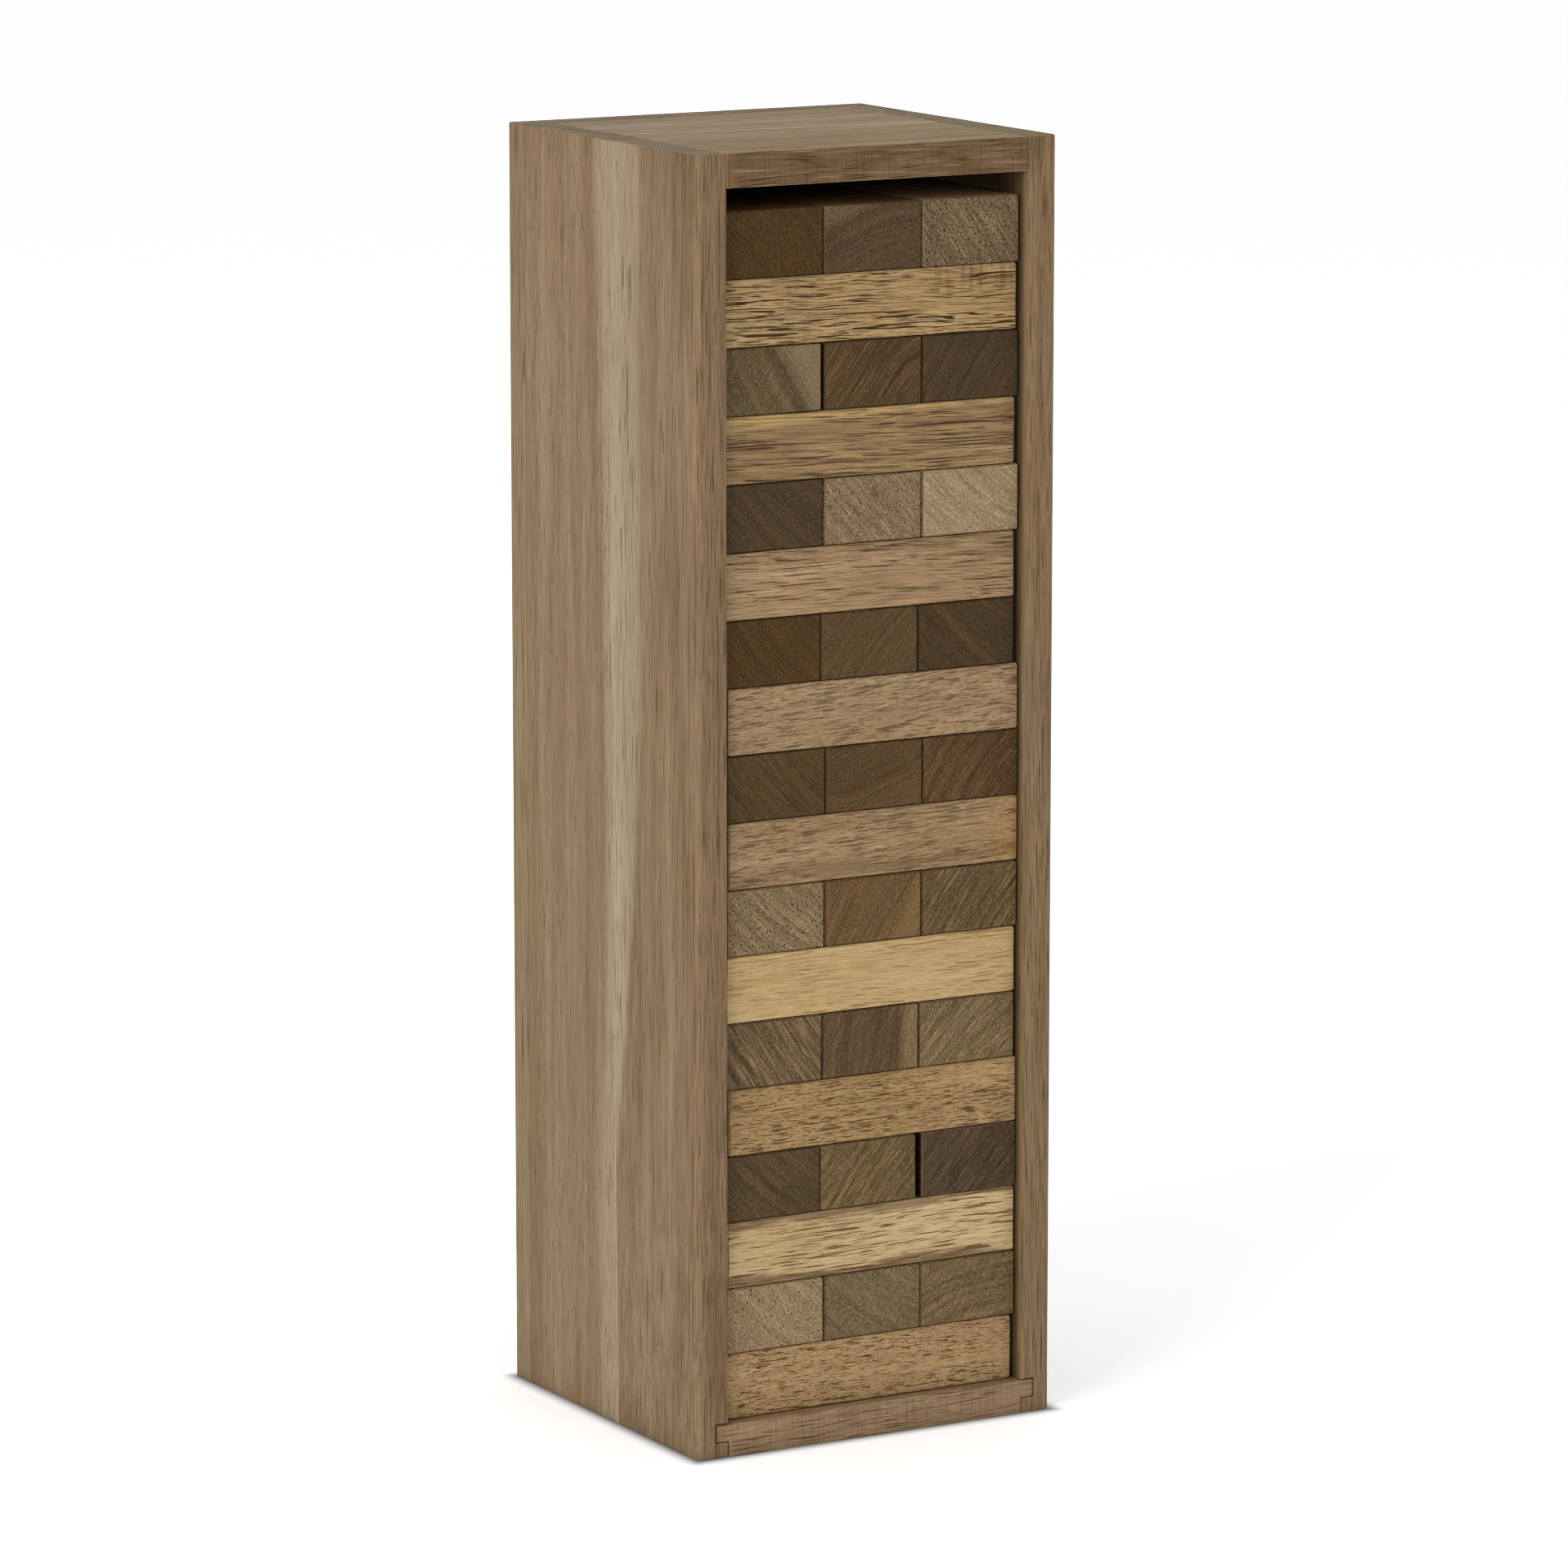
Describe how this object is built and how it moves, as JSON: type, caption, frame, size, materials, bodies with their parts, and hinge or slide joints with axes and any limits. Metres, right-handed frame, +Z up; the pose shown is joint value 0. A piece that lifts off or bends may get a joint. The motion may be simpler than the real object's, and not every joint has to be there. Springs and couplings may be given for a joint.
{
  "type": "giant tumbling tower",
  "caption": "Tumbling-tower lawn game: a stack of crossed wooden blocks in an upright open-fronted case, on a base board that slides out forward.",
  "frame": {"origin": "middle of the case's footprint, on the ground", "axes": "+Z up, +X to the right as seen from the open front, open front towards -Y"},
  "size_m": [0.185, 0.174, 0.585],
  "materials": {
    "case_wood": "sanded, thin oil, satin",
    "top_wood": "sanded, thin oil, satin",
    "base_wood": "sanded, thin oil, satin",
    "block_pale": "sanded, thin oil, satin",
    "block_golden": "sanded, thin oil, satin",
    "block_tan": "sanded, thin oil, satin",
    "block_olive": "sanded, thin oil, satin",
    "block_grey_brown": "sanded, thin oil, satin",
    "block_red_brown": "sanded, thin oil, satin",
    "block_dark": "sanded, thin oil, satin"
  },
  "bodies": {
    "case": {"left_side": "case_wood", "right_side": "case_wood", "top_panel": "top_wood", "back_panel": "case_wood"},
    "base_board": {"base_board": "base_wood"},
    "block_01_back": {"block_01_back": "block_golden"},
    "block_01_middle": {"block_01_middle": "block_golden"},
    "block_01_front": {"block_01_front": "block_golden"},
    "block_02_left": {"block_02_left": "block_olive"},
    "block_02_middle": {"block_02_middle": "block_olive"},
    "block_02_right": {"block_02_right": "block_olive"},
    "block_03_back": {"block_03_back": "block_pale"},
    "block_03_middle": {"block_03_middle": "block_pale"},
    "block_03_front": {"block_03_front": "block_pale"},
    "block_04_left": {"block_04_left": "block_olive"},
    "block_04_middle": {"block_04_middle": "block_olive"},
    "block_04_right": {"block_04_right": "block_dark"},
    "block_05_back": {"block_05_back": "block_golden"},
    "block_05_middle": {"block_05_middle": "block_golden"},
    "block_05_front": {"block_05_front": "block_golden"},
    "block_06_left": {"block_06_left": "block_grey_brown"},
    "block_06_middle": {"block_06_middle": "block_dark"},
    "block_06_right": {"block_06_right": "block_olive"},
    "block_07_back": {"block_07_back": "block_pale"},
    "block_07_middle": {"block_07_middle": "block_pale"},
    "block_07_front": {"block_07_front": "block_pale"},
    "block_08_left": {"block_08_left": "block_olive"},
    "block_08_middle": {"block_08_middle": "block_grey_brown"},
    "block_08_right": {"block_08_right": "block_dark"},
    "block_09_back": {"block_09_back": "block_golden"},
    "block_09_middle": {"block_09_middle": "block_golden"},
    "block_09_front": {"block_09_front": "block_golden"},
    "block_10_left": {"block_10_left": "block_dark"},
    "block_10_middle": {"block_10_middle": "block_dark"},
    "block_10_right": {"block_10_right": "block_dark"},
    "block_11_back": {"block_11_back": "block_tan"},
    "block_11_middle": {"block_11_middle": "block_tan"},
    "block_11_front": {"block_11_front": "block_tan"},
    "block_12_left": {"block_12_left": "block_dark"},
    "block_12_middle": {"block_12_middle": "block_dark"},
    "block_12_right": {"block_12_right": "block_dark"},
    "block_13_back": {"block_13_back": "block_tan"},
    "block_13_middle": {"block_13_middle": "block_tan"},
    "block_13_front": {"block_13_front": "block_tan"},
    "block_14_left": {"block_14_left": "block_dark"},
    "block_14_middle": {"block_14_middle": "block_tan"},
    "block_14_right": {"block_14_right": "block_tan"},
    "block_15_back": {"block_15_back": "block_golden"},
    "block_15_middle": {"block_15_middle": "block_golden"},
    "block_15_front": {"block_15_front": "block_golden"},
    "block_16_left": {"block_16_left": "block_olive"},
    "block_16_middle": {"block_16_middle": "block_red_brown"},
    "block_16_right": {"block_16_right": "block_dark"},
    "block_17_back": {"block_17_back": "block_golden"},
    "block_17_middle": {"block_17_middle": "block_golden"},
    "block_17_front": {"block_17_front": "block_golden"},
    "block_18_left": {"block_18_left": "block_red_brown"},
    "block_18_middle": {"block_18_middle": "block_dark"},
    "block_18_right": {"block_18_right": "block_grey_brown"}
  },
  "joints": [
    {"name": "base_board_slide", "type": "slide", "parent": "case", "child": "base_board", "axis": [0, -1, 0], "range_m": [0, 0.16]},
    {"name": "block_01_back_slide", "type": "slide", "parent": "base_board", "child": "block_01_back", "axis": [0, -1, 0], "range_m": [0, 0.16]},
    {"name": "block_01_middle_slide", "type": "slide", "parent": "block_01_back", "child": "block_01_middle", "axis": [0, -1, 0], "range_m": [0, 0.11]},
    {"name": "block_01_front_slide", "type": "slide", "parent": "block_01_middle", "child": "block_01_front", "axis": [0, -1, 0], "range_m": [0, 0.06]},
    {"name": "block_02_left_slide", "type": "slide", "parent": "base_board", "child": "block_02_left", "axis": [0, -1, 0], "range_m": [0, 0.16]},
    {"name": "block_02_middle_slide", "type": "slide", "parent": "base_board", "child": "block_02_middle", "axis": [0, -1, 0], "range_m": [0, 0.16]},
    {"name": "block_02_right_slide", "type": "slide", "parent": "base_board", "child": "block_02_right", "axis": [0, -1, 0], "range_m": [0, 0.16]},
    {"name": "block_03_back_slide", "type": "slide", "parent": "base_board", "child": "block_03_back", "axis": [0, -1, 0], "range_m": [0, 0.16]},
    {"name": "block_03_middle_slide", "type": "slide", "parent": "block_03_back", "child": "block_03_middle", "axis": [0, -1, 0], "range_m": [0, 0.11]},
    {"name": "block_03_front_slide", "type": "slide", "parent": "block_03_middle", "child": "block_03_front", "axis": [0, -1, 0], "range_m": [0, 0.06]},
    {"name": "block_04_left_slide", "type": "slide", "parent": "base_board", "child": "block_04_left", "axis": [0, -1, 0], "range_m": [0, 0.16]},
    {"name": "block_04_middle_slide", "type": "slide", "parent": "base_board", "child": "block_04_middle", "axis": [0, -1, 0], "range_m": [0, 0.16]},
    {"name": "block_04_right_slide", "type": "slide", "parent": "base_board", "child": "block_04_right", "axis": [0, -1, 0], "range_m": [0, 0.16]},
    {"name": "block_05_back_slide", "type": "slide", "parent": "base_board", "child": "block_05_back", "axis": [0, -1, 0], "range_m": [0, 0.16]},
    {"name": "block_05_middle_slide", "type": "slide", "parent": "block_05_back", "child": "block_05_middle", "axis": [0, -1, 0], "range_m": [0, 0.11]},
    {"name": "block_05_front_slide", "type": "slide", "parent": "block_05_middle", "child": "block_05_front", "axis": [0, -1, 0], "range_m": [0, 0.06]},
    {"name": "block_06_left_slide", "type": "slide", "parent": "base_board", "child": "block_06_left", "axis": [0, -1, 0], "range_m": [0, 0.16]},
    {"name": "block_06_middle_slide", "type": "slide", "parent": "base_board", "child": "block_06_middle", "axis": [0, -1, 0], "range_m": [0, 0.16]},
    {"name": "block_06_right_slide", "type": "slide", "parent": "base_board", "child": "block_06_right", "axis": [0, -1, 0], "range_m": [0, 0.16]},
    {"name": "block_07_back_slide", "type": "slide", "parent": "base_board", "child": "block_07_back", "axis": [0, -1, 0], "range_m": [0, 0.16]},
    {"name": "block_07_middle_slide", "type": "slide", "parent": "block_07_back", "child": "block_07_middle", "axis": [0, -1, 0], "range_m": [0, 0.11]},
    {"name": "block_07_front_slide", "type": "slide", "parent": "block_07_middle", "child": "block_07_front", "axis": [0, -1, 0], "range_m": [0, 0.06]},
    {"name": "block_08_left_slide", "type": "slide", "parent": "base_board", "child": "block_08_left", "axis": [0, -1, 0], "range_m": [0, 0.16]},
    {"name": "block_08_middle_slide", "type": "slide", "parent": "base_board", "child": "block_08_middle", "axis": [0, -1, 0], "range_m": [0, 0.16]},
    {"name": "block_08_right_slide", "type": "slide", "parent": "base_board", "child": "block_08_right", "axis": [0, -1, 0], "range_m": [0, 0.16]},
    {"name": "block_09_back_slide", "type": "slide", "parent": "base_board", "child": "block_09_back", "axis": [0, -1, 0], "range_m": [0, 0.16]},
    {"name": "block_09_middle_slide", "type": "slide", "parent": "block_09_back", "child": "block_09_middle", "axis": [0, -1, 0], "range_m": [0, 0.11]},
    {"name": "block_09_front_slide", "type": "slide", "parent": "block_09_middle", "child": "block_09_front", "axis": [0, -1, 0], "range_m": [0, 0.06]},
    {"name": "block_10_left_slide", "type": "slide", "parent": "base_board", "child": "block_10_left", "axis": [0, -1, 0], "range_m": [0, 0.16]},
    {"name": "block_10_middle_slide", "type": "slide", "parent": "base_board", "child": "block_10_middle", "axis": [0, -1, 0], "range_m": [0, 0.16]},
    {"name": "block_10_right_slide", "type": "slide", "parent": "base_board", "child": "block_10_right", "axis": [0, -1, 0], "range_m": [0, 0.16]},
    {"name": "block_11_back_slide", "type": "slide", "parent": "base_board", "child": "block_11_back", "axis": [0, -1, 0], "range_m": [0, 0.16]},
    {"name": "block_11_middle_slide", "type": "slide", "parent": "block_11_back", "child": "block_11_middle", "axis": [0, -1, 0], "range_m": [0, 0.11]},
    {"name": "block_11_front_slide", "type": "slide", "parent": "block_11_middle", "child": "block_11_front", "axis": [0, -1, 0], "range_m": [0, 0.06]},
    {"name": "block_12_left_slide", "type": "slide", "parent": "base_board", "child": "block_12_left", "axis": [0, -1, 0], "range_m": [0, 0.16]},
    {"name": "block_12_middle_slide", "type": "slide", "parent": "base_board", "child": "block_12_middle", "axis": [0, -1, 0], "range_m": [0, 0.16]},
    {"name": "block_12_right_slide", "type": "slide", "parent": "base_board", "child": "block_12_right", "axis": [0, -1, 0], "range_m": [0, 0.16]},
    {"name": "block_13_back_slide", "type": "slide", "parent": "base_board", "child": "block_13_back", "axis": [0, -1, 0], "range_m": [0, 0.16]},
    {"name": "block_13_middle_slide", "type": "slide", "parent": "block_13_back", "child": "block_13_middle", "axis": [0, -1, 0], "range_m": [0, 0.11]},
    {"name": "block_13_front_slide", "type": "slide", "parent": "block_13_middle", "child": "block_13_front", "axis": [0, -1, 0], "range_m": [0, 0.06]},
    {"name": "block_14_left_slide", "type": "slide", "parent": "base_board", "child": "block_14_left", "axis": [0, -1, 0], "range_m": [0, 0.16]},
    {"name": "block_14_middle_slide", "type": "slide", "parent": "base_board", "child": "block_14_middle", "axis": [0, -1, 0], "range_m": [0, 0.16]},
    {"name": "block_14_right_slide", "type": "slide", "parent": "base_board", "child": "block_14_right", "axis": [0, -1, 0], "range_m": [0, 0.16]},
    {"name": "block_15_back_slide", "type": "slide", "parent": "base_board", "child": "block_15_back", "axis": [0, -1, 0], "range_m": [0, 0.16]},
    {"name": "block_15_middle_slide", "type": "slide", "parent": "block_15_back", "child": "block_15_middle", "axis": [0, -1, 0], "range_m": [0, 0.11]},
    {"name": "block_15_front_slide", "type": "slide", "parent": "block_15_middle", "child": "block_15_front", "axis": [0, -1, 0], "range_m": [0, 0.06]},
    {"name": "block_16_left_slide", "type": "slide", "parent": "base_board", "child": "block_16_left", "axis": [0, -1, 0], "range_m": [0, 0.16]},
    {"name": "block_16_middle_slide", "type": "slide", "parent": "base_board", "child": "block_16_middle", "axis": [0, -1, 0], "range_m": [0, 0.16]},
    {"name": "block_16_right_slide", "type": "slide", "parent": "base_board", "child": "block_16_right", "axis": [0, -1, 0], "range_m": [0, 0.16]},
    {"name": "block_17_back_slide", "type": "slide", "parent": "base_board", "child": "block_17_back", "axis": [0, -1, 0], "range_m": [0, 0.16]},
    {"name": "block_17_middle_slide", "type": "slide", "parent": "block_17_back", "child": "block_17_middle", "axis": [0, -1, 0], "range_m": [0, 0.11]},
    {"name": "block_17_front_slide", "type": "slide", "parent": "block_17_middle", "child": "block_17_front", "axis": [0, -1, 0], "range_m": [0, 0.06]},
    {"name": "block_18_left_slide", "type": "slide", "parent": "base_board", "child": "block_18_left", "axis": [0, -1, 0], "range_m": [0, 0.16]},
    {"name": "block_18_middle_slide", "type": "slide", "parent": "base_board", "child": "block_18_middle", "axis": [0, -1, 0], "range_m": [0, 0.16]},
    {"name": "block_18_right_slide", "type": "slide", "parent": "base_board", "child": "block_18_right", "axis": [0, -1, 0], "range_m": [0, 0.16]}
  ]
}
